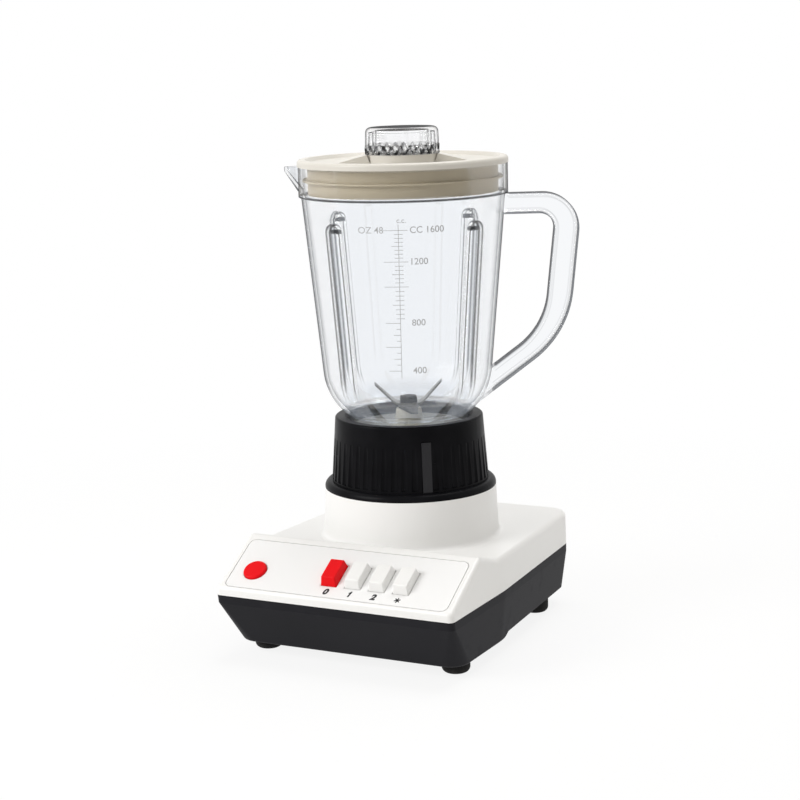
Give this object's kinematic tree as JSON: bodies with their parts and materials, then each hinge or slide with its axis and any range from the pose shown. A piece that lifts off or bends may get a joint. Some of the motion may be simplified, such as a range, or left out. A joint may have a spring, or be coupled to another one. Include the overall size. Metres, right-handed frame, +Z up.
{
  "type": "countertop blender",
  "caption": "Countertop blender with a sloped key panel, motor base, clear handled jar on a twist-off ribbed collar, crossed blades, cream lid and clear cap.",
  "frame": {"origin": "point where the spindle axis meets the surface that the feet stand on", "axes": "+Z up along the spindle, -Y out of the control panel's side, +X to the right of someone facing the panel"},
  "size_m": [0.2045, 0.2295, 0.3624],
  "materials": {
    "housing_white": "satin white moulding",
    "housing_dark": "fine-grained dark grey moulding",
    "panel_white": "printed matt sheet",
    "key_white": "gloss white moulding",
    "key_red": "gloss red moulding",
    "collar_black": "satin black moulding",
    "jar_clear": "clear polished moulding",
    "cap_clear": "clear polished moulding",
    "lid_cream": "satin cream moulding",
    "carrier_cream": "satin cream moulding",
    "rubber_black": "matt rubber",
    "seal_rubber": "pale soft rubber",
    "blade_steel": "ground stainless steel",
    "shaft_steel": "ground steel",
    "screw_steel": "zinc-plated steel",
    "nut_black": "blackened steel",
    "lamination_steel": "stacked steel sheet",
    "bracket_alloy": "die-cast alloy",
    "copper": "enamelled copper",
    "bronze": "sintered bronze",
    "carbon": "pressed carbon",
    "switch_black": "matt moulding",
    "board_brown": "laminate board",
    "coupling_black": "filled nylon"
  },
  "bodies": {
    "base": {"upper_housing": "housing_white", "lower_housing": "housing_dark", "control_panel": "panel_white", "switch_block": "switch_black", "button_switch": "switch_black", "switch_board": "board_brown", "feet": "rubber_black", "housing_screws": "screw_steel", "cord_inlet": "rubber_black", "stator_core": "lamination_steel", "stator_windings": "copper", "upper_bracket": "bracket_alloy", "lower_bracket": "bracket_alloy", "shaft_bushes": "bronze", "carbon_brushes": "carbon", "brush_holders": "bronze", "stator_bolts": "screw_steel", "motor_dampers": "rubber_black", "motor_screws": "screw_steel"},
    "motor": {"motor_shaft": "shaft_steel", "rotor_core": "lamination_steel", "rotor_windings": "copper", "commutator": "copper", "cooling_fan": "switch_black", "drive_coupling": "coupling_black"},
    "off_key": {"key_off": "key_red"},
    "low_key": {"key_low": "key_white"},
    "high_key": {"key_high": "key_white"},
    "pulse_key": {"key_pulse": "key_white"},
    "button": {"round_button": "key_red"},
    "collar_unit": {"jar_collar": "collar_black", "blade_carrier": "carrier_cream", "blade_bush": "bronze", "shaft_seal": "rubber_black", "jar_gasket": "seal_rubber"},
    "cutter": {"blade_shaft": "shaft_steel", "blade_washer": "blade_steel", "lower_blade": "blade_steel", "upper_blade": "blade_steel", "blade_nut": "nut_black", "driven_coupling": "coupling_black"},
    "jar": {"jar": "jar_clear"},
    "lid": {"lid": "lid_cream", "lid_seal": "seal_rubber"},
    "cap": {"measuring_cap": "cap_clear"}
  },
  "joints": [
    {"name": "motor_spin", "type": "hinge", "parent": "base", "child": "motor", "pos_m": [0, 0, 0], "axis": [0, 0, 1], "continuous": true},
    {"name": "off_key_press", "type": "slide", "parent": "base", "child": "off_key", "axis": [0, 0.5, -0.866], "range_m": [0, 0.004], "stiffness_N_per_m": 400},
    {"name": "low_key_press", "type": "slide", "parent": "base", "child": "low_key", "axis": [0, 0.5, -0.866], "range_m": [0, 0.004], "stiffness_N_per_m": 400},
    {"name": "high_key_press", "type": "slide", "parent": "base", "child": "high_key", "axis": [0, 0.5, -0.866], "range_m": [0, 0.004], "stiffness_N_per_m": 400},
    {"name": "pulse_key_press", "type": "slide", "parent": "base", "child": "pulse_key", "axis": [0, 0.5, -0.866], "range_m": [0, 0.004], "stiffness_N_per_m": 400},
    {"name": "button_press", "type": "slide", "parent": "base", "child": "button", "axis": [0, 0.5, -0.866], "range_m": [0, 0.002], "stiffness_N_per_m": 400},
    {"name": "collar_lift", "type": "slide", "parent": "base", "child": "collar_unit", "axis": [0, 0, 1], "range_m": [0, 0.06]},
    {"name": "cutter_spin", "type": "hinge", "parent": "collar_unit", "child": "cutter", "pos_m": [0, 0, 0], "axis": [0, 0, 1], "continuous": true},
    {"name": "jar_twist", "type": "hinge", "parent": "collar_unit", "child": "jar", "pos_m": [0, 0, 0], "axis": [0, 0, 1], "range_deg": [0, 60]},
    {"name": "lid_lift", "type": "slide", "parent": "jar", "child": "lid", "axis": [0, 0, 1], "range_m": [0, 0.04]},
    {"name": "cap_lift", "type": "slide", "parent": "lid", "child": "cap", "axis": [0, 0, 1], "range_m": [0, 0.03]}
  ],
  "couplings": [
    {"joint": "cutter_spin", "follows": "motor_spin", "ratio": 1}
  ]
}
